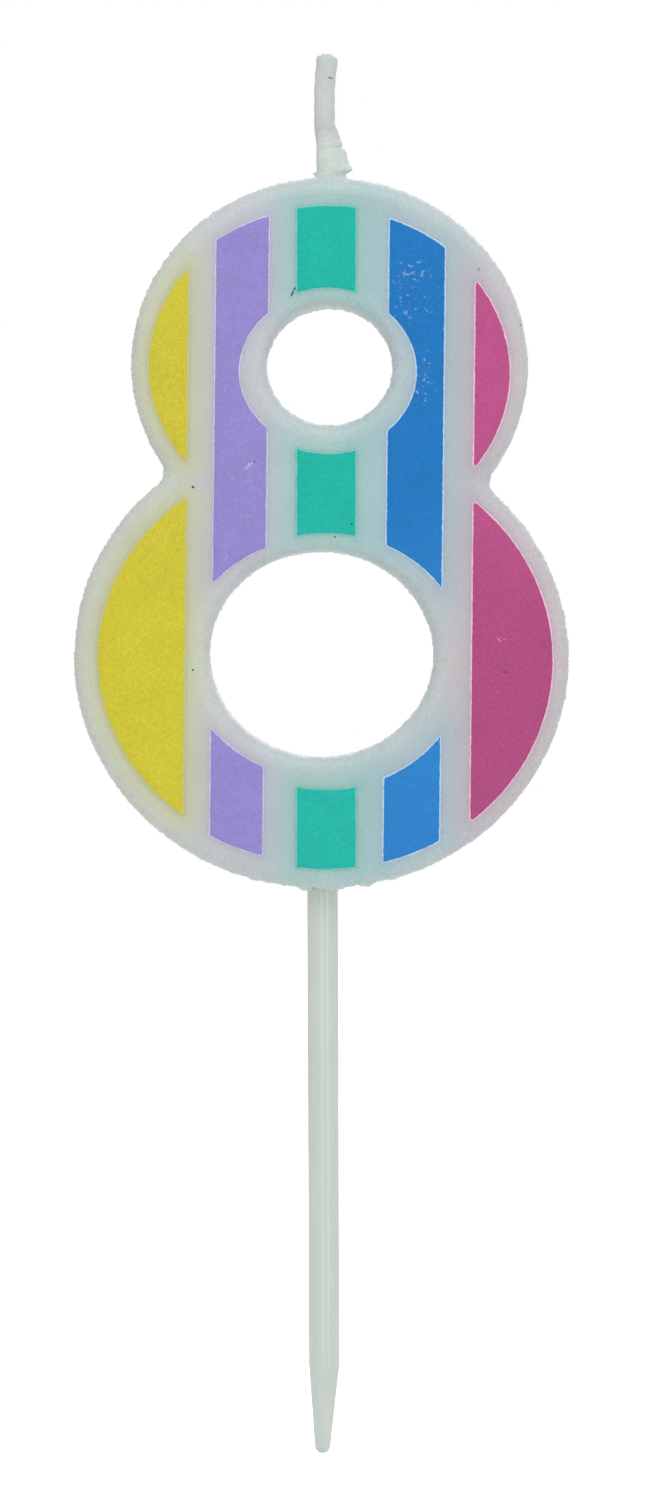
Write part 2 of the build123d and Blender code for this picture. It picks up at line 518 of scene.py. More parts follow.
def field_points(loops, spacing):
    """A triangular lattice of points between the loops, clear of them."""
    outline = np.vstack(loops)
    low, high = outline.min(axis=0), outline.max(axis=0)
    rows = np.arange(low[1], high[1], spacing * math.sqrt(0.75))
    lattice = []
    for number, z in enumerate(rows):
        shift = spacing / 2 if number % 2 else 0.0
        lattice += [(x + shift, z) for x in np.arange(low[0], high[0], spacing)]
    lattice = np.array(lattice)
    lattice = lattice[inside(lattice, loops)]
    edge = tree_of(outline)
    clear = CLEAR_OF_EDGE * spacing
    return np.array([point for point in lattice if edge.find((*point, 0))[2] > clear])


def filled(loops, spacing):
    """Points and triangles that fill the loops. The loops' own points come first, in order."""
    field = field_points(loops, spacing)
    points = np.vstack(loops + [field]) if len(field) else np.vstack(loops)
    edges, start = [], 0
    for loop in loops:
        count = len(loop)
        edges += [(start + i, start + (i + 1) % count) for i in range(count)]
        start += count
    in_mm = [Vector(point) for point in points / MM]
    new_points, _, faces, origins, *_ = delaunay_2d_cdt(in_mm, edges, [], 0, FINEST)
    source = []
    for place, origin in zip(new_points, origins):
        if not origin:  # two outline edges crossed here
            points = np.vstack([points, np.array(place) * MM])
        source.append(origin[0] if origin else len(points) - 1)
    triangles = np.array([[source[i] for i in face] for face in faces])
    return points, triangles[inside(points[triangles].mean(axis=1), loops)]


def left_of(loop):
    """Unit vectors that point to the left of the loop's way, into the piece."""
    tangent = np.roll(loop, -1, axis=0) - np.roll(loop, 1, axis=0)
    tangent /= np.linalg.norm(tangent, axis=1)[:, None]
    return np.stack([-tangent[:, 1], tangent[:, 0]], axis=1)


def plate(loops, profile, spacing, nudge):
    """A closed plate: each loop swept through the profile from back to front, and both ends filled.

    The profile's rows are (how far in from the outline, depth along y). nudge(x, y, z, inset)
    moves a wall point in or out. Returns points and faces that look outwards.
    """
    points, faces, rings = [], [], []
    for loop in loops:
        inward, count = left_of(loop), len(loop)
        for inset, depth in profile:
            ring = loop + inward * inset
            moves = np.array([nudge(x, depth, z, inset) for x, z in ring])
            ring = ring + inward * moves[:, None]
            rings.append(ring)
            start = len(points)
            points += [(x, depth, z) for x, z in ring]
            if len(rings) % len(profile) != 1:
                below = start - count
                faces += [
                    (below + i, below + (i + 1) % count, start + (i + 1) % count, start + i)
                    for i in range(count)
                ]
    steps = len(profile)
    for end, depth, forward in ((0, profile[0][1], False), (steps - 1, profile[-1][1], True)):
        ends = [rings[number * steps + end] for number in range(len(loops))]
        cap_points, triangles = filled(ends, spacing)
        on_rings, start = [], 0
        for number, loop in enumerate(loops):
            on_rings += [start + end * len(loop) + i for i in range(len(loop))]
            start += steps * len(loop)
        first_new = len(points)
        points += [(x, depth, z) for x, z in cap_points[len(on_rings):]]
        numbers = np.array(on_rings + list(range(first_new, len(points))))
        for triangle in numbers[triangles]:
            faces.append(tuple(triangle) if forward else tuple(triangle[::-1]))
    return np.array(points), faces


def make_piece(name, points, faces, material=None):
    """A smooth-shaded mesh object at the origin, with its place in its mesh."""
    mesh = bpy.data.meshes.new(name)
    mesh.from_pydata([tuple(point) for point in points], [], [tuple(map(int, face)) for face in faces])
    mesh.update()
    mesh.shade_smooth()
    if material is not None:
        mesh.materials.append(material)
    return place_object(name, mesh)


def colour_points(mesh, colours):
    """Store a colour on every point of a mesh, for its finish to read."""
    layer = mesh.attributes.new("stain", "FLOAT_COLOR", "POINT")
    layer.data.foreach_set("color", np.asarray(colours, np.float32).ravel())


# %% [markdown]
# ## The wax figure
# The figure is one casting. Its front edge is a broad round where the mould's floor meets its
# wall, with a fine raised line where the round ends, and its back edge is only just broken.
# Each outline is swept through that one profile, and the wall is given the small unevenness of
# cold wax. A Boolean cut then opens the socket for the pick and the bore for the wick.

# %% Sweep the figure's profile
FRONT_ROUND = 1.5 * MM
BACK_ROUND = 0.5 * MM
WALL_STEP = 0.75 * MM
LINE_WIDTH = 0.32 * MM  # the raised line inside the front round
LINE_HEIGHT = 0.03 * MM
ROUGHNESS = 0.1 * MM
SWELL = 0.03 * MM
SINK_DEPTH = 0.16 * MM
SINK_REACH = 2.6 * MM
RIPPLE = 0.07 * MM
FOOT_REACH = 4.0  # mm
SCALLOP = 0.6 * MM
LIP_DROP = 0.3 * MM  # a lip of wax beside the pick's shoulder
APRON_DROP = 0.22 * MM  # a low apron of wax in front of it


def rim_profile(back, front):
    """Rows of (inset, depth) from the back face round to the front face."""
    rows = []
    for angle in np.radians(np.arange(0, 90.1, 18)):
        rows.append((BACK_ROUND * (1 - math.sin(angle)), back - BACK_ROUND * (1 - math.cos(angle))))
    wall_back, wall_front = back - BACK_ROUND, front + FRONT_ROUND
    steps = round((wall_back - wall_front) / WALL_STEP)
    rows += [(0.0, wall_back + (wall_front - wall_back) * step / steps) for step in range(1, steps)]
    for angle in np.radians(np.arange(0, 90.1, 9)):
        rows.append((FRONT_ROUND * (1 - math.cos(angle)), wall_front - FRONT_ROUND * math.sin(angle)))
    for share in (0.2, 0.4, 0.6, 0.8, 1.0):
        rise = LINE_HEIGHT * math.sin(math.pi * share) ** 2
        rows.append((FRONT_ROUND + LINE_WIDTH * share, front - rise))
    return rows


def wall_unevenness(x, y, z, inset):
    """Small dents and bumps, which fade out towards the flat faces."""
    at = Vector((x, y, z)) / MM
    fade = max(0.0, 1.0 - inset / FRONT_ROUND)
    long_wave = noise.noise(at * 0.22 + Vector((3, 1, 7)))
    short_wave = noise.noise(Vector((at.x * 1.3, at.y * 0.8, at.z * 1.3)))
    fine_wave = noise.noise(Vector((at.x * 4.1, at.y * 1.6, at.z * 4.1)) + Vector((9, 4, 2)))
    inward = fade * ROUGHNESS * (0.6 * long_wave + 0.6 * short_wave + 1.7 * fine_wave)
    # Near the foot the casting has scallops, and a lip of wax hangs beside the pick
    foot = max(0.0, 1 - abs(at.z) / FOOT_REACH) * max(0.0, 1 - abs(at.x) / (3 * FOOT_REACH))
    inward += fade * foot * SCALLOP * noise.noise(Vector((at.x * 0.9, at.y * 0.25, 2.5)))
    lip = ((at.x + 1.7) / 0.55) ** 2 + ((at.y + 2.6) / 0.8) ** 2 + (at.z / 0.8) ** 2
    apron = (at.x / 2.0) ** 4 + ((at.y + 3.0) / 1.1) ** 4 + (at.z / 0.8) ** 2
    return inward - LIP_DROP * math.exp(-lip) - APRON_DROP * math.exp(-apron)


def swell(x, z):
    """How far the front stands back where the wax sank as it cooled."""
    at = Vector((x, 0, z)) / MM
    return SWELL * (0.5 + 0.5 * noise.noise(at * 0.11 + Vector((5, 5, 5))))


def back_sink(x, z):
    """How far the open back sank as it cooled. Wax clings to the mould's wall, so its edge stands."""
    from_edge = outline_tree.find((x, z, 0))[2] - BACK_ROUND
    share = min(1.0, max(0.0, from_edge / SINK_REACH))
    at = Vector((x, 0, z)) / MM
    ripple = RIPPLE * (0.5 + 0.5 * noise.noise(at * 0.45 + Vector((2, 8, 1))))
    return share * share * (3 - 2 * share) * (SINK_DEPTH + ripple)


figure_profile = rim_profile(figure_high.y, figure_low.y)
FIELD_STEP = 0.5 * MM
figure_points, figure_faces = plate(figure_loops, figure_profile, FIELD_STEP, wall_unevenness)
wax_figure = make_piece("wax_figure", figure_points, figure_faces)
print("wax figure:", len(figure_points), "points,", len(figure_faces), "faces")

# %% Cut the socket and the bore
SOCKET_SHARE = 1.28 / 1.5  # the socket against the shank
SOCKET_SPARE = 0.3 * MM
BORE_X = 0.5 * MM
CUT_PAST = 2 * MM  # how far a cutter runs out of the wax
CUTTER_SIDES = 40
FRONT_BAND = 0.1 * MM  # points this near the front face swell with it
BACK_BAND = 0.02 * MM  # and points this near the back sink with it
pick_low, pick_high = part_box("pick")
core_low, core_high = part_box("wick_core")
shank_radius = (pick_high.x - pick_low.x) / 2
core_radius = (core_high.y - core_low.y) / 2


def round_cutter(name, x, foot, head, radius):
    """A plain upright bar, used only to cut with."""
    work = bmesh.new()
    bmesh.ops.create_cone(
        work, cap_ends=True, segments=CUTTER_SIDES, radius1=radius, radius2=radius,
        depth=head - foot, matrix=Matrix.Translation((x, 0, (foot + head) / 2)),
    )
    mesh = bpy.data.meshes.new(name)
    work.to_mesh(mesh)
    work.free()
    return place_object(name, mesh)


cutters = [
    round_cutter(
        "socket_cutter", 0, figure_low.z - CUT_PAST, pick_high.z + SOCKET_SPARE,
        shank_radius * SOCKET_SHARE,
    ),
    round_cutter("bore_cutter", BORE_X, core_low.z, figure_high.z + CUT_PAST, core_radius),
]
for cutter in cutters:
    cut = wax_figure.modifiers.new(cutter.name, "BOOLEAN")
    cut.operation = "DIFFERENCE"
    cut.solver = "EXACT"
    cut.object = cutter
evaluated = wax_figure.evaluated_get(bpy.context.evaluated_depsgraph_get())
cut_mesh = bpy.data.meshes.new_from_object(evaluated)
wax_figure.modifiers.clear()
wax_figure.data = cut_mesh
for cutter in cutters:
    bpy.data.objects.remove(cutter)
outline_tree = tree_of(np.vstack(figure_loops))
for vertex in cut_mesh.vertices:
    x, y, z = vertex.co
    if y < figure_low.y + FRONT_BAND:
        vertex.co.y += swell(x, z)
    elif y > figure_high.y - BACK_BAND:
        vertex.co.y -= back_sink(x, z)
cut_mesh.shade_smooth()
print("wax figure after cutting:", len(cut_mesh.polygons), "faces")

# %% [markdown]
# ## Colour that bleeds into the wax
# Light that enters the wax beside a patch of ink comes out tinted, and here that tinted light is
# painted into the colour. The print also stains the wax a little. Each point of the figure gets a
# colour from the inks near it, weaker with distance, and the wax finish multiplies its own colour by
# it.

# %% Inks and their patches
INKS = ("yellow", "lilac", "teal", "blue", "pink")
PLACES = {"teal": ("upper", "middle", "lower")}
# Each screen is a little out of register: shift across and up in mm, stretch across and up
REGISTER = {
    "print_yellow_upper": (0.0, 0.35, 1.0, 0.965),
    "print_yellow_lower": (0.0, 0.2, 1.0, 0.967),
    "print_pink_upper": (0.0, -0.25, 1.0, 0.973),
    "print_lilac_lower": (-0.1, 0.78, 1.07, 1.03),
    "print_lilac_upper": (-0.07, 0.0, 1.07, 1.0),
    "print_blue_upper": (0.0, 0.0, 1.0, 0.988),
    "print_teal_upper": (0.0, 0.2, 1.0, 0.99),
    "print_teal_middle": (0.0, -0.05, 1.0, 0.965),
}
EDGE_STEP = 0.12 * MM
# How round each colour's corners are, in passes of smoothing
CORNERS = {"yellow": 14, "lilac": 1, "teal": 2, "blue": 2, "pink": 9}


def softened(loop, colour):
    """A loop in even steps, its corners rounded a little as this colour's are."""
    loop = even_steps(loop, EDGE_STEP)
    for _ in range(CORNERS[colour]):
        loop = (np.roll(loop, 1, axis=0) + 2 * loop + np.roll(loop, -1, axis=0)) / 4
    return loop


patches = {}
for colour in INKS:
    for place in PLACES.get(colour, ("upper", "lower")):
        node = f"print_{colour}_{place}"
        low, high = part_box(node)
        loop = cut_loops(node, (low.y + high.y) / 2)[0]
        across, up, wider, taller = REGISTER.get(node, (0.0, 0.0, 1.0, 1.0))
        middle = (loop.min(axis=0) + loop.max(axis=0)) / 2
        loop = middle + (loop - middle) * (wider, taller) + np.array([across, up]) * MM
        patches[node] = (colour, loop)
print("patches of print:", len(patches))

# %% Paint the inks' bled light and their stain on the figure's points
INK_BLEED_AND_STAIN = {  # colour that the wax is multiplied by, share of it at the ink's edge, reach
    "yellow": ((1.0, 0.90, 0.10), 0.52, 1.7 * MM),
    "lilac": ((0.72, 0.42, 0.92), 0.30, 1.7 * MM),
    "teal": ((0.05, 0.84, 0.74), 0.44, 2.4 * MM),
    "blue": ((0.02, 0.58, 0.90), 0.31, 2.9 * MM),
    "pink": ((0.98, 0.22, 0.50), 0.34, 2.4 * MM),
}
INK_FIELD_STEP = 0.4 * MM
BLEED_AND_STAIN_DEPTH = 5 * MM
FROST_AND_SHEEN_REACH = 2.6 * MM

figure_at = np.array([vertex.co for vertex in cut_mesh.vertices])
stain = np.ones((len(figure_at), 4))
for colour, (tint, strength, reach) in INK_BLEED_AND_STAIN.items():
    fields = []
    for ink, loop in patches.values():
        if ink == colour:
            edge = softened(loop, colour)
            fields += [edge, field_points([edge], INK_FIELD_STEP)]
    ink_tree = tree_of(np.vstack(fields))
    distance = np.array([ink_tree.find((x, z, 0))[2] for x, _, z in figure_at])
    share = strength * np.exp(-distance / reach)
    stain[:, :3] *= 1 - share[:, None] * (1 - np.array(tint))
# Behind the front the painted bleed and the stain die away through the thickness of the wax
behind = np.clip((figure_at[:, 1] - figure_low.y) / BLEED_AND_STAIN_DEPTH, 0, 1)[:, None]
stain[:, :3] = stain[:, :3] * (1 - behind) + behind
# The alpha channel keeps how close a point is to an outline, for the frost and the painted highlight at
# the wax's edge
from_outline = np.array([outline_tree.find((x, z, 0))[2] for x, _, z in figure_at])
stain[:, 3] = np.clip(1 - from_outline / FROST_AND_SHEEN_REACH, 0, 1)
colour_points(cut_mesh, stain)
print("deepest stain:", np.round(stain[:, :3].min(axis=0), 2))

# %% [markdown]
# ## Wax finish
# Paraffin wax is milky: light goes in, scatters and comes out close by. Subsurface scattering
# gives that softness. The colour is a cool white, clouded at the scale of centimetres, and the
# skin has fine dimples that break up the highlight.

# %% Wax materials
FROST_AND_EDGE_SHEEN = 0.26  # how far small crystals lighten the wax, half as far away from an edge; the extra at an edge is a painted highlight
CRYSTAL_SIZE = 0.2 * MM
# How far the pits are darkened with painted shade
PIT_SHADE = 0.16
PITTED_FROM, PITTED_FULLY = 1.5 * MM, 3.6 * MM  # depths between which pits set in


def wax_finish(
    name, colour, scatter, cloud_size=7.0, contrast=0.05, dimple=0.12, stained=False, spots=()
):
    """Milky wax: a clouded colour, light scattered under the skin, and a dimpled surface."""
    material, tree, shader = new_finish(name)
    place = object_place(tree)
    cloud = effect(
        tree, cloud_group,
        {"Place": place, "Cloud Size": cloud_size, "Grain Size": 0.45, "Grain Share": 0.3},
    )
    brightness = mapped(tree, cloud["Cloud"], MOST_NOISE, (1.0 - contrast, 1.0 + contrast))
    shown = scaled(tree, colour[:3], brightness)
    if stained:
        layer = add(tree, "ShaderNodeAttribute", attribute_name="stain").outputs
        # On the figure these point colours are painted light bled from the inks, as well as their stain
        shown = mix_colour(tree, 1.0, shown, layer["Color"], blend="MULTIPLY")
        frost_inputs = {"Vector": place, "Scale": 1 / CRYSTAL_SIZE, "Detail": 1.0, "Roughness": 0.6}
        frost = add(tree, "ShaderNodeTexNoise", frost_inputs).outputs["Fac"]
        crystals = mapped(tree, frost, (0.46, 0.62), (0.0, FROST_AND_EDGE_SHEEN))
        # Near an outline the lightening doubles: frost there, and a painted highlight on the rounded
        # edge
        at_edge = sum_of(tree, "MULTIPLY_ADD", layer["Alpha"], 0.5, 0.5)
        frost_and_sheen = sum_of(tree, "MULTIPLY", crystals, at_edge)
        shown = mix_colour(tree, frost_and_sheen, shown, linear(236, 241, 240))
    shown = spotted(tree, shown, spots, linear(66, 66, 70))
    # Air rises to the open back of the mould, so pits lie there and not at the front
    pit_inputs = {"Place": place, "Pit Spacing": 2.4, "Pit Reach": 0.2, "Share": 0.3}
    depth = add(tree, "ShaderNodeSeparateXYZ", {0: place}).outputs["Y"]
    at_back = mapped(tree, depth, (PITTED_FROM, PITTED_FULLY))
    pits = sum_of(tree, "MULTIPLY", effect(tree, pit_group, pit_inputs)["Pit"], at_back)
    # Each pit is darkened towards a grey wax colour: painted shade inside the pit
    pit_shade = sum_of(tree, "MULTIPLY", pits, PIT_SHADE)
    dimpled = bumped(tree, cloud["Skin"], dimple, 0.1 * MM)
    wire(
        tree, shader,
        {
            "Base Color": mix_colour(tree, pit_shade, shown, linear(150, 162, 160)),
            "Roughness": mapped(tree, cloud["Skin"], MOST_NOISE, (0.38, 0.5)),
            "Normal": bumped(tree, pits, 0.8, 0.2 * MM, dimpled, invert=True),
            "IOR": 1.43,
            "Subsurface Weight": scatter,
            "Subsurface Radius": (1.0, 0.95, 0.85),
            "Subsurface Scale": 1.2 * MM,
        },
    )
    return material


# Specks caught in the casting, and one fibre: (across, up), half length, half width, turn, depth
CAUGHT = [
    ((-3.02, 59.55), 0.42, 0.12, 66, 4.0),
    ((-2.78, 60.05), 0.34, 0.11, 48, 4.0),
    ((-12.96, 40.2), 0.19, 0.17, 0, 4.0),
    ((-12.96, 21.9), 0.15, 0.13, 0, 4.0),
    ((10.8, 26.4), 0.17, 0.13, 20, 4.0),
    ((1.24, 35.2), 0.15, 0.11, 0, 4.0),
    ((15.6, 62.0), 0.14, 0.1, 40, 3.8),
    ((19.8, 56.4), 0.14, 0.1, 0, 3.6),
    ((-18.3, 41.2), 0.09, 0.08, 0, 3.6),
    ((6.6, 17.2), 0.09, 0.08, 0, 4.0),
]
cast_wax = wax_finish("cast wax", linear(207, 214, 213), 0.45, stained=True, spots=CAUGHT)
wax_figure.data.materials.clear()
wax_figure.data.materials.append(cast_wax)
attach(wax_figure, "candle")
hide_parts("wax_body")

# %% [markdown]
# ## The print
# Each stripe is screen printed: first a white ink that hides the wax, then the colour, a little
# smaller or larger than the white, so a fine pale line may show round it. An ink layer is a thin
# plate with a soft shoulder, and its edge is ragged at the scale of the screen's mesh.

# %% Layers of ink
INK_BACK = -3.99 * MM
INK_MIDDLE = -4.04 * MM
INK_FRONT = -4.1 * MM
INK_STEP = 0.9 * MM
# How far each colour runs past its outline, and how far the white under it shows beyond it, in mm
SPREAD = {"yellow": -0.1, "lilac": 0.0, "teal": -0.1, "blue": -0.06, "pink": 0.03}
WHITE_SHOWS = {"yellow": 0.22, "lilac": 0.12, "teal": 0.2, "blue": 0.15, "pink": 0.15}
RAGGED = 0.05 * MM
WHITE_RAGGED = 0.08 * MM
SHOULDER = 0.03 * MM


def ink_plate(loop, colour, spread, back, front, ragged, seed):
    """One layer of ink over an outline, draped on the wax, with an edge that wanders."""
    def wander(x, y, z, inset):
        at = Vector((x, 0, z)) / MM + Vector((seed * 11.3, seed * 3.7, 0))
        return ragged * (
            0.5 * noise.noise(at * 0.9) + 0.8 * noise.noise(at * 3.4) + 0.5 * noise.noise(at * 7.5)
        )

    if area_of(loop) < 0:
        loop = loop[::-1]
    profile = [
        (-spread, back),
        (-spread, back + (front - back) * 0.5),
        (-spread + SHOULDER * 0.3, back + (front - back) * 0.85),
        (-spread + SHOULDER, front),
    ]
    points, faces = plate([softened(loop, colour)], profile, INK_STEP, wander)
    points[:, 1] += [swell(x, z) for x, _, z in points]
    return points, faces


# %% [markdown]
# ## Ink finish
# The inks are satin and nearly flat in colour. Up close they have a fine grain, slow changes in
# strength, and specks where ink did not take or was scuffed off. The lower half of each stripe
# was inked a little differently from the upper half.

# %% Ink materials
LOWER_TONE, UPPER_TONE = 25 * MM, 42 * MM  # heights between which the tone changes
GRAIN_CONTRAST = 0.12


def ink_finish(name, upper, lower, spoiled, dirt):
    """Screen ink: two strengths of one colour, a fine grain, and areas spoiled by specks."""
    material, tree, shader = new_finish(name)
    place = object_place(tree)
    grain = effect(tree, ink_group, {"Place": place, "Mesh Size": 0.2, "Patch Size": 3.5})
    height = add(tree, "ShaderNodeSeparateXYZ", {0: place}).outputs["Z"]
    height_share = mapped(tree, height, (LOWER_TONE, UPPER_TONE), smooth=True)
    base = mix_colour(tree, height_share, lower, upper)
    uneven = mapped(tree, grain["Grain"], MOST_NOISE, (1 - GRAIN_CONTRAST, 1 + GRAIN_CONTRAST))
    patchy = mapped(tree, grain["Patchiness"], MOST_NOISE, (0.97, 1.03))
    shown = scaled(tree, base, sum_of(tree, "MULTIPLY", uneven, patchy))
    bare = mix_colour(tree, 0.3, linear(226, 234, 246), base)
    for *area, speck_size, share, bareness in spoiled:
        fleck_inputs = {"Place": place_on(tree, *area), "Speck Size": speck_size, "Share": share}
        flecks = effect(tree, fleck_group, fleck_inputs)["Mask"]
        shown = mix_colour(tree, sum_of(tree, "MULTIPLY", flecks, bareness), shown, bare)
    wire(
        tree, shader,
        {
            "Base Color": spotted(tree, shown, dirt, linear(52, 48, 56)),
            "Roughness": mapped(tree, grain["Grain"], MOST_NOISE, (0.5, 0.64)),
            "Normal": bumped(tree, grain["Grain"], 0.25, 0.02 * MM),
            "IOR": 1.48,
            "Specular IOR Level": 0.25,
        },
    )
    return material


def white_ink_finish():
    """White ink whose edge takes on some of the colour printed over it."""
    material, tree, shader = new_finish("white ink")
    grain_inputs = {"Place": object_place(tree), "Mesh Size": 0.2, "Patch Size": 1.2}
    grain = effect(tree, ink_group, grain_inputs)
    tinge = add(tree, "ShaderNodeAttribute", attribute_name="stain").outputs["Color"]
    # The edge of the white is broken into dots by the screen's mesh
    dots = mapped(tree, grain["Grain"], (0.42, 0.56))
    patch = mapped(tree, grain["Patchiness"], (0.4, 0.6), (0.45, 1.0))
    share = sum_of(tree, "MAXIMUM", dots, patch)
    wire(
        tree, shader,
        {
            "Base Color": mix_colour(tree, share, linear(196, 204, 206), tinge),
            "Roughness": mapped(tree, grain["Grain"], WHOLE, (0.45, 0.65)),
            "Specular IOR Level": 0.3,
        },
    )
    return material


# Each spoiled area: (middle across and up), half length, half width, turn, size of a speck,
# how much ink is missing and how bare each speck is
SPOILED = {
    "blue": [
        ((9.0, 60.0), 4.4, 6.6, 0, 0.5, 0.66, 0.42),
        ((9.0, 61.3), 2.6, 1.0, 4, 0.42, 0.8, 0.5),
        ((9.6, 51.0), 3.4, 5.0, 0, 0.5, 0.66, 0.5),
    ],
    "lilac": [
        ((-7.3, 42.4), 1.1, 0.42, 36, 0.22, 1.05, 0.7),
        ((-8.8, 41.2), 2.0, 0.18, 36, 0.22, 0.9, 0.7),
        ((-7.9, 37.2), 1.0, 0.5, 12, 0.3, 0.85, 0.8),
        ((-9.6, 33.1), 0.5, 0.4, 0, 0.3, 0.9, 0.8),
    ],
    "yellow": [((-15.6, 37.2), 0.9, 0.6, 30, 0.5, 0.8, 0.25)],
    "pink": [((17.9, 25.0), 0.6, 0.6, 0, 0.35, 0.95, 0.8), ((16.5, 18.0), 4.0, 8.0, 0, 0.4, 0.25, 0.4)],
}
DIRT = {
    "lilac": [((-6.85, 42.7), 0.13, 0.09, 40, 4.1)],
    "pink": [((18.2, 21.7), 0.14, 0.12, 0, 4.1)],
    "teal": [((2.9, 36.5), 0.2, 0.1, 40, 4.1)],
}
SHADES = {  # in the upper half and in the lower half
    "yellow": (linear(214, 203, 58), linear(217, 206, 55)),
    "lilac": (linear(154, 142, 213), linear(155, 144, 216)),
    "teal": (linear(23, 189, 171), linear(31, 192, 176)),
    "blue": (linear(24, 123, 199), linear(43, 136, 213)),
    "pink": (linear(195, 85, 142), linear(184, 79, 133)),
}
TINGE = {
    "yellow": linear(211, 205, 124),
    "lilac": linear(224, 218, 250),
    "teal": linear(112, 206, 192),
    "blue": linear(196, 228, 255),
    "pink": linear(255, 206, 230),
}
ink_materials = {
    colour: ink_finish(f"{colour} ink", *SHADES[colour], SPOILED.get(colour, ()), DIRT.get(colour, ()))
    for colour in INKS
}
white_ink = white_ink_finish()

# %% Print the stripes
WHITE_SEED = 20
white_points, white_faces, white_tinges = [], [], []
for number, (node, (colour, loop)) in enumerate(patches.items()):
    spread = SPREAD[colour] * MM
    points, faces = ink_plate(loop, colour, spread, INK_MIDDLE, INK_FRONT, RAGGED, number)
    stripe = make_piece(node.replace("print", "ink"), points, faces, ink_materials[colour])
    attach(stripe, "candle")
    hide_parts(node)
    spread = (SPREAD[colour] + WHITE_SHOWS[colour]) * MM
    seed = number + WHITE_SEED
    points, faces = ink_plate(loop, colour, spread, INK_BACK, INK_MIDDLE, WHITE_RAGGED, seed)
    white_faces += [[corner + len(white_points) for corner in face] for face in faces]
    white_points += list(points)
    white_tinges += [TINGE[colour]] * len(points)
white_base = make_piece("white_ink_base", white_points, white_faces, white_ink)
colour_points(white_base.data, white_tinges)
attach(white_base, "candle")
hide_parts("print_white_base")
print("white ink:", len(white_points), "points")

# %% [markdown]
# ## Rods that Geometry Nodes sweep
# The wick's strands, its wax coat and the plastic pick are all rods: a round section carried
# along a line, with a rule for its radius. One tree makes them. The section is swept along the
# line, its radius follows named sizes, a helical rib winds round it, and noise lumps it.

# %% The rod tree
ROD_SIZES = {
    "Radius": 1.0 * MM,
    "Foot Taper": 0.0,
    "Foot Radius": 1.0 * MM,
    "Foot Round": 0.05 * MM,
    "Head Round": 0.05 * MM,
    "Head Radius": 1.0 * MM,
    "Head Length": 0.0,
    "Head Blend": 0.01 * MM,
    "Rib Height": 0.0,
    "Rib Pitch": 4.0 * MM,
    "Lump Height": 0.0,
    "Lump Size": 1.0 * MM,
    "Step Along": 0.2 * MM,
}
ROD_COUNTS = {"Rib Count": 3, "Sides": 32, "Seed": 1}
SMALLEST = 0.001 * MM  # keeps a length of nought from being divided by
THINNEST = 0.01 * MM
rod_inputs = [("Line", "NodeSocketGeometry", None)]
rod_inputs += [(label, "NodeSocketFloat", start) for label, start in ROD_SIZES.items()]
rod_inputs += [(label, "NodeSocketInt", start) for label, start in ROD_COUNTS.items()]
rod_inputs += [("Material", "NodeSocketMaterial", None)]
rod_tree, rod_in, rod_out = new_group(
    "swept rod", "GeometryNodeTree", rod_inputs, [("Mesh", "NodeSocketGeometry")]
)
given = rod_in.outputs
rod_sum = partial(sum_of, rod_tree)


def rod(kind, inputs=None, output=0, **settings):
    """One output of a node in the rod tree."""
    return add(rod_tree, kind, inputs, **settings).outputs[output]


def store(geometry, label, value):
    """Geometry with a number stored on its points under a name."""
    inputs = {"Geometry": geometry, "Name": label, "Value": value}
    return rod("GeometryNodeStoreNamedAttribute", inputs, data_type="FLOAT", domain="POINT")


def stored(label):
    """A number stored on the geometry under a name."""
    return rod("GeometryNodeInputNamedAttribute", {"Name": label}, data_type="FLOAT")


def rounded_end(from_end, corner):
    """What an end's quarter circle takes off the radius."""
    share = rod_sum("DIVIDE", from_end, rod_sum("MAXIMUM", corner, SMALLEST), clamp=True)
    left = rod_sum("SUBTRACT", 1.0, share)
    # A hair over one keeps the square root's argument above nought
    height = rod_sum("SQRT", rod_sum("SUBTRACT", 1.0001, rod_sum("MULTIPLY", left, left)))
    return rod_sum("MULTIPLY", corner, rod_sum("SUBTRACT", 1.0, height))


line_inputs = {"Curve": given["Line"], "Length": given["Step Along"]}
fine_line = rod("GeometryNodeResampleCurve", line_inputs, mode="LENGTH")
travelled = rod("GeometryNodeSplineParameter", output="Length")
to_head = rod_sum("SUBTRACT", rod("GeometryNodeSplineLength", output="Length"), travelled)
# The body's radius grows along the taper from the foot, and changes where the head begins
taper_end = rod_sum("MAXIMUM", given["Foot Taper"], SMALLEST)
body_radius = mapped(
    rod_tree, travelled, (0.0, taper_end), (given["Foot Radius"], given["Radius"])
)
past_neck = rod_sum("SUBTRACT", given["Head Length"], to_head)
in_head = rod_sum("DIVIDE", past_neck, given["Head Blend"], clamp=True)
with_head = rod("ShaderNodeMix", {0: in_head, 2: body_radius, 3: given["Head Radius"]})
foot_loss = rounded_end(travelled, given["Foot Round"])
head_loss = rounded_end(to_head, given["Head Round"])
rounded_off = rod_sum("SUBTRACT", with_head, rod_sum("ADD", foot_loss, head_loss))
radius = rod_sum("MAXIMUM", rounded_off, THINNEST)
sized = store(store(fine_line, "along", travelled), "rod_radius", radius)
section = rod("GeometryNodeCurvePrimitiveCircle", {"Resolution": given["Sides"], "Radius": 1.0})
turned = store(section, "around", rod("GeometryNodeSplineParameter", output="Factor"))
swept = rod(
    "GeometryNodeCurveToMesh",
    {"Curve": sized, "Profile Curve": turned, "Scale": stored("rod_radius"), "Fill Caps": True},
)
turns_across = rod_sum("MULTIPLY", stored("around"), given["Rib Count"])
pitches = rod_sum("DIVIDE", stored("along"), given["Rib Pitch"])
turns = rod_sum("ADD", turns_across, rod_sum("MULTIPLY", pitches, given["Rib Count"]))
wave = rod_sum("SINE", rod_sum("MULTIPLY", turns, 2 * math.pi))
rib = rod_sum("MULTIPLY", wave, given["Rib Height"])
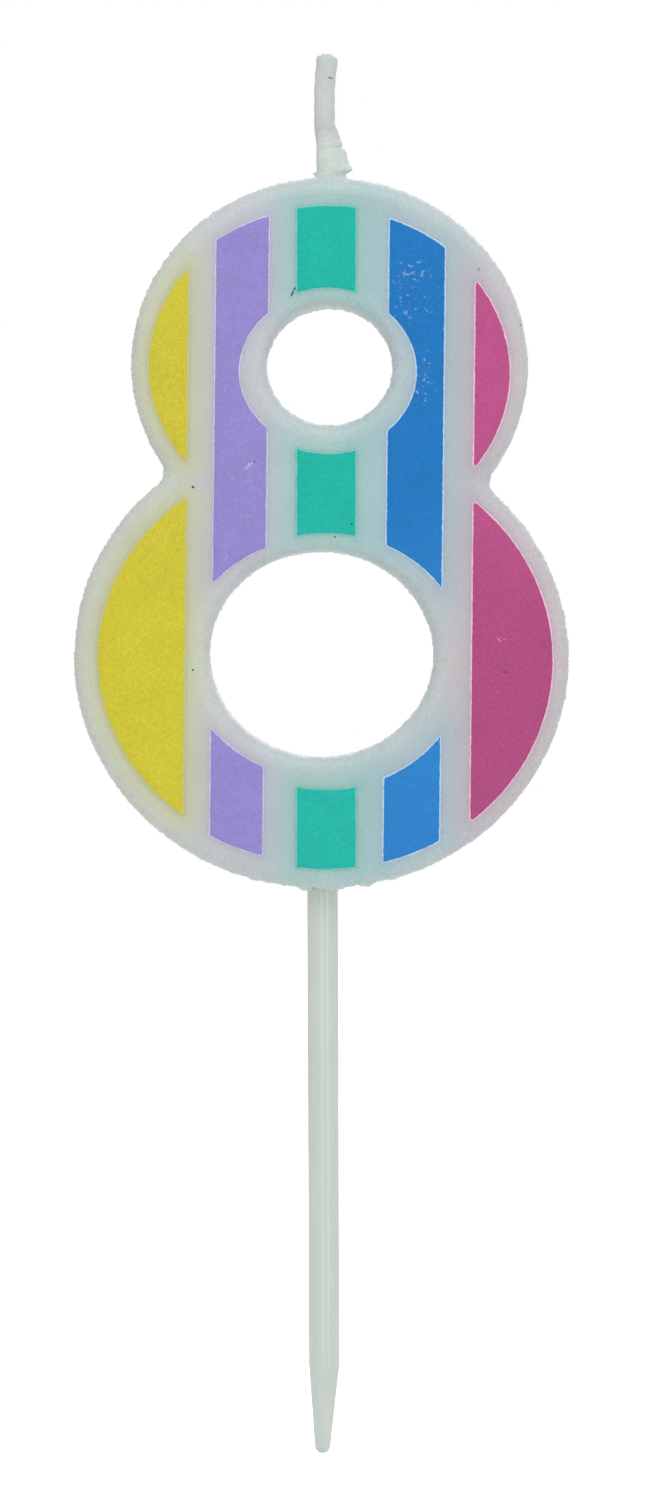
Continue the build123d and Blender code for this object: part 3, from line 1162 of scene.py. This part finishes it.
lump_noise = rod(
    "ShaderNodeTexNoise",
    {"W": given["Seed"], "Scale": rod_sum("DIVIDE", 1.0, given["Lump Size"]), "Detail": 3.0},
    noise_dimensions="4D",
)
lump = rod_sum("MULTIPLY", rod_sum("SUBTRACT", lump_noise, 0.5), given["Lump Height"])
push = scaled(rod_tree, rod("GeometryNodeInputNormal"), rod_sum("ADD", rib, lump))
moved = rod("GeometryNodeSetPosition", {"Geometry": swept, "Offset": push})
smooth = rod("GeometryNodeSetShadeSmooth", {"Geometry": moved})
painted = rod("GeometryNodeSetMaterial", {"Geometry": smooth, "Material": given["Material"]})
wire(rod_tree, rod_out, {"Mesh": rod("GeometryNodeRealizeInstances", {"Geometry": painted})})
print("rod tree:", len(rod_tree.nodes), "nodes")

# %% Make rods from lines
def sweep(name, lines, values):
    """Sweep the rod tree along poly lines, and keep the result as one plain mesh."""
    curve = bpy.data.curves.new(f"{name}_line", "CURVE")
    curve.dimensions = "3D"
    for line in lines:
        spline = curve.splines.new("POLY")
        spline.points.add(len(line) - 1)
        for point, place in zip(spline.points, line):
            point.co = (*place, 1)
    carrier = place_object(f"{name}_line", curve)
    modifier = carrier.modifiers.new(rod_tree.name, "NODES")
    modifier.node_group = rod_tree
    for item in rod_tree.interface.items_tree:
        if item.item_type == "SOCKET" and item.in_out == "INPUT" and item.name in values:
            modifier[item.identifier] = values[item.name]
    carrier.update_tag()
    shape = carrier.evaluated_get(bpy.context.evaluated_depsgraph_get())
    mesh = bpy.data.meshes.new_from_object(shape)
    bpy.data.objects.remove(carrier)
    mesh.name = name
    print(name, "has", len(mesh.polygons), "faces")
    return place_object(name, mesh)


# %% [markdown]
# ## The wick
# The wick is three cotton strands laid together and dipped in wax, so outside the figure it is a
# smooth waxed stick. Where the strands were pulled through the mould, wax crept up as a torn
# collar. The strands run down inside the figure, and their cut ends show at the top.

# %% Wick materials
NICK = [((0.78, 81.4), 0.36, 0.09, -12, 0.75)]
wick_wax = wax_finish("dipped wax", linear(205, 212, 208), 0.15, 2.2, 0.045, 0.35, spots=NICK)
collar_wax = wax_finish("torn wax", linear(214, 224, 217), 0.15, 1.4, 0.06, 0.45, stained=True)


def drawn_clouds(tree, share, cloud_size, grain_size, grain_share):
    """Cloudiness that is drawn out along a rod, because heights count for only a share."""
    inputs = {"Vector": object_place(tree), "Scale": (1, 1, share)}
    place = add(tree, "ShaderNodeMapping", inputs).outputs[0]
    sizes = {"Cloud Size": cloud_size, "Grain Size": grain_size, "Grain Share": grain_share}
    return effect(tree, cloud_group, {"Place": place, **sizes})


def cotton_finish():
    """Bleached cotton soaked in wax: pale, with fine fibres along the strand."""
    material, tree, shader = new_finish("waxed cotton")
    fibres = drawn_clouds(tree, 0.2, 0.5, 0.09, 0.7)
    pale, dull = linear(226, 228, 218), linear(172, 176, 166)
    wire(
        tree, shader,
        {
            "Base Color": mix_colour(tree, fibres["Cloud"], dull, pale),
            "Roughness": mapped(tree, fibres["Skin"], WHOLE, (0.55, 0.85)),
            "Normal": bumped(tree, fibres["Skin"], 0.7, 0.05 * MM),
            "Subsurface Weight": 0.2,
            "Subsurface Radius": (1.0, 0.95, 0.9),
            "Subsurface Scale": 0.5 * MM,
        },
    )
    return material


cotton = cotton_finish()

# %% The wick's line and its strands
WICK_X = (0.5, 0.5, 0.49, 0.44, 0.2, 0.19, 0.25, 0.37, 0.5)
WICK_Z = (62.2, 70.0, 73.0, 74.9, 76.9, 79.6, 81.2, 82.3, 83.7)
PLY_COUNT = 3
PLY_PITCH = 5.0 * MM
PLY_SWING = 0.48  # how far a strand lies from the middle, against the core's radius
PLY_RADIUS = core_radius * 0.5
WICK_POINTS = 110
WICK_SMOOTHING = 6
CUT_ENDS = 83.3 * MM  # above this height each strand ends a little lower than the one before
heights = np.linspace(WICK_Z[0], WICK_Z[-1], WICK_POINTS)
wick_x = np.interp(heights, WICK_Z, WICK_X)
for _ in range(WICK_SMOOTHING):
    wick_x[1:-1] = (wick_x[:-2] + 2 * wick_x[1:-1] + wick_x[2:]) / 4
wick_line = np.stack([wick_x, np.zeros_like(heights), heights], axis=1) * MM

ply_lines = []
for ply in range(PLY_COUNT):
    turn = 2 * math.pi * (ply / PLY_COUNT + (wick_line[:, 2] - wick_line[0, 2]) / PLY_PITCH)
    swing = np.stack([np.cos(turn), np.sin(turn), np.zeros_like(turn)], axis=1)
    lift = np.array([0, 0, (0.16 - 0.07 * ply) * MM]) * (wick_line[:, 2:] > CUT_ENDS)
    ply_lines.append(wick_line + swing * core_radius * PLY_SWING + lift)
wick_plies = sweep(
    "wick_plies", ply_lines,
    {
        "Radius": PLY_RADIUS,
        "Foot Radius": PLY_RADIUS,
        "Head Radius": PLY_RADIUS,
        "Head Round": 0.12 * MM,
        "Rib Height": 0.025 * MM,
        "Rib Count": 7,
        "Rib Pitch": 2.6 * MM,
        "Lump Height": 0.05 * MM,
        "Lump Size": 0.4 * MM,
        "Sides": 28,
        "Seed": 4,
        "Material": cotton,
    },
)
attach(wick_plies, "candle")
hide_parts("wick_core")

# %% The dipped coat
coat_low, coat_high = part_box("wick_wax_coat")
coat_radius = (coat_high.y - coat_low.y) / 2
coat_line = wick_line[wick_line[:, 2] > coat_low.z - 0.3 * MM]
wick_coat = sweep(
    "wick_coat", [coat_line],
    {
        "Radius": coat_radius * 1.05,
        "Foot Radius": coat_radius * 1.05,
        "Foot Taper": 4 * MM,
        "Head Length": 2.4 * MM,
        "Head Blend": 1.8 * MM,
        "Head Radius": coat_radius * 1.1,
        "Head Round": 0.42 * MM,
        "Rib Height": 0.02 * MM,
        "Rib Count": PLY_COUNT,
        "Rib Pitch": PLY_PITCH,
        "Lump Height": 0.14 * MM,
        "Lump Size": 1.1 * MM,
        "Step Along": 0.09 * MM,
        "Sides": 56,
        "Seed": 9,
        "Material": wick_wax,
    },
)
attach(wick_coat, "candle")
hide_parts("wick_wax_coat")

# %% The torn collar
COLLAR_ROWS = np.array([  # height, left edge, right edge, half depth, in mm from the seat and the pick
    (70.6, -0.95, 2.45, 1.46),
    (71.2, -1.05, 2.62, 1.44),
    (71.5, -0.80, 2.36, 1.40),
    (71.75, -0.68, 2.34, 1.38),
    (71.95, -0.62, 2.60, 1.36),
    (72.2, -0.60, 2.98, 1.34),
    (72.45, -0.60, 2.90, 1.33),
    (72.8, -0.60, 2.66, 1.32),
    (73.4, -0.60, 2.50, 1.30),
    (74.05, -0.60, 2.36, 1.25),
    (74.25, -0.60, 2.26, 1.24),
    (74.42, -0.61, 1.90, 1.23),
    (74.6, -0.61, 1.98, 1.22),
    (74.85, -0.62, 2.05, 1.19),
    (75.2, -0.66, 1.85, 1.15),
    (75.6, -0.71, 1.73, 1.11),
    (76.0, -0.76, 1.58, 1.07),
    (76.4, -0.79, 1.44, 1.03),
    (76.8, -0.80, 1.27, 0.96),
    (77.2, -0.72, 1.08, 0.86),
])
FLAKE_LEVEL = 71.85  # a small flake stands out on the left, in mm
FLAKE_HALF = 0.12
FLAKE_REACH = 0.38
COLLAR_X = 0.35
COLLAR_SIDES = 72
COLLAR_LEVELS = 84
COLLAR_ENDS = (0.5 * MM, 0.3 * MM)  # where the middle of the lowest and of the highest ring lies


def collar_point(level, left, right, deep, step):
    """One point of the wax that crept up round the wick and tore on one side, in mm."""
    angle = 2 * math.pi * step / COLLAR_SIDES
    side = math.cos(angle)
    reach = (right - COLLAR_X) if side > 0 else (COLLAR_X - left)
    flake = math.exp(-(((level - FLAKE_LEVEL) / FLAKE_HALF) ** 2)) * max(0.0, -side) ** 12
    x = COLLAR_X + reach * side - FLAKE_REACH * flake
    y = deep * math.sin(angle) * (1 - 0.35 * max(0.0, side) ** 2)
    crease = noise.noise(Vector((x * 1.6, y * 1.6, level * 0.7)))
    chip = noise.noise(Vector((x, y, level)) * 3.2 + Vector((4, 4, 4)))
    push = 1 + 0.05 * crease + 0.045 * chip
    return (COLLAR_X + (x - COLLAR_X) * push, y * push, level)


def collar_shape():
    """Points and faces of the collar: a stack of rings, closed at both ends."""
    levels = np.linspace(COLLAR_ROWS[0, 0], COLLAR_ROWS[-1, 0], COLLAR_LEVELS)
    rows = [levels] + [np.interp(levels, COLLAR_ROWS[:, 0], COLLAR_ROWS[:, i]) for i in (1, 2, 3)]
    points = [
        tuple(part * MM for part in collar_point(*row, step))
        for row in zip(*rows) for step in range(COLLAR_SIDES)
    ]
    foot, head = len(points), len(points) + 1
    points += [(x, 0, level * MM) for x, level in zip(COLLAR_ENDS, (levels[0], levels[-1]))]
    faces = []
    top = (COLLAR_LEVELS - 1) * COLLAR_SIDES
    for step in range(COLLAR_SIDES):
        ahead = (step + 1) % COLLAR_SIDES
        for start in range(0, top, COLLAR_SIDES):
            above = start + COLLAR_SIDES
            faces.append((start + step, start + ahead, above + ahead, above + step))
        faces += [(foot, ahead, step), (head, top + step, top + ahead)]
    return points, faces


wick_collar = make_piece("wick_collar", *collar_shape(), collar_wax)
# The collar is a little brighter than the coat, and takes on the coat's tone where it meets it
COAT_TONE = (0.88, 0.865, 0.88, 0.0)
COAT_FROM, COAT_OVER = 73.5, 2.5  # the height where that begins, and over what height, in mm
up_collar = np.array([vertex.co.z for vertex in wick_collar.data.vertices]) / MM
coat_share = np.clip((up_collar - COAT_FROM) / COAT_OVER, 0, 1)[:, None]
tone = (1 - coat_share) * np.array([1, 1, 1, 0]) + coat_share * np.array(COAT_TONE)
colour_points(wick_collar.data, tone)
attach(wick_collar, "candle")
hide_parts("wick_wax_collar")

# %% [markdown]
# ## The pick
# The pick is injection moulded in milky plastic. Its shank is round, its point tapers to a blunt
# round tip, and a thinner tang above the shoulder pushes into the wax. It is one more rod.

# %% Milky plastic
PICK_LEAN = 0.0035  # the shank leans a hair to the right below the seat
PAINTED_STREAKS = (-0.1, 0.46)  # across the shank, in mm from its middle
PAINTED_STREAK_HALF = 0.2 * MM
PAINTED_STREAK_FADES = (-49 * MM, -46 * MM)  # the painted highlights are fainter on the taper


def plastic_finish():
    """Milky plastic: slightly see-through at the skin, with faint flow along the length, and two
    painted highlight streaks.
    """
    material, tree, shader = new_finish("milky plastic")
    flow = drawn_clouds(tree, 0.12, 1.1, 0.3, 0.35)
    shown = mix_colour(tree, flow["Cloud"], linear(202, 212, 204), linear(220, 230, 223))
    # Two pale lines of painted highlight run down the shank
    place = add(tree, "ShaderNodeSeparateXYZ", {0: object_place(tree)}).outputs
    leant = sum_of(tree, "MULTIPLY", place["Z"], PICK_LEAN)
    across = sum_of(tree, "ADD", place["X"], leant)
    strength = mapped(tree, place["Z"], PAINTED_STREAK_FADES, (0.0, 0.3))
    for streak_x in PAINTED_STREAKS:
        from_streak = sum_of(tree, "ABSOLUTE", sum_of(tree, "SUBTRACT", across, streak_x * MM))
        on_streak = mapped(tree, from_streak, (0.0, PAINTED_STREAK_HALF), (strength, 0.0), smooth=True)
        shown = mix_colour(tree, on_streak, shown, linear(240, 250, 244))
    wire(
        tree, shader,
        {
            "Base Color": shown,
            "Roughness": mapped(tree, flow["Skin"], WHOLE, (0.16, 0.3)),
            "Normal": bumped(tree, flow["Skin"], 0.05, 0.05 * MM),
            "IOR": 1.49,
            "Subsurface Weight": 0.35,
            "Subsurface Radius": (1.0, 0.97, 0.92),
            "Subsurface Scale": 0.8 * MM,
        },
    )
    return material


# %% Sweep the pick
TIP_RADIUS = 0.7 * MM
TAPER = 9.1 * MM
TANG_SHARE = 1.25 / 1.5
pick_levels = np.arange(pick_low.z / MM, pick_high.z / MM + 0.001, 0.2)
taper_start = pick_low.z / MM + TAPER / MM
# The shank leans, and the point comes back towards the middle
pick_across = np.interp(
    pick_levels, (pick_low.z / MM, taper_start, 0.0), (0.0, -PICK_LEAN * taper_start, 0.0)
)
pick_line = [(x * MM, 0, z * MM) for x, z in zip(pick_across, pick_levels)]
candle_pick = sweep(
    "moulded_pick", [pick_line],
    {
        "Radius": shank_radius * 1.03,
        "Foot Radius": TIP_RADIUS,
        "Foot Taper": TAPER,
        "Foot Round": TIP_RADIUS,
        "Head Length": pick_high.z,
        "Head Radius": shank_radius * TANG_SHARE,
        "Head Round": 0.3 * MM,
        "Lump Height": 0.05 * MM,
        "Lump Size": 2.5 * MM,
        "Step Along": 0.1 * MM,
        "Sides": 64,
        "Seed": 2,
        "Material": plastic_finish(),
    },
)
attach(candle_pick, "pick")
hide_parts("pick")
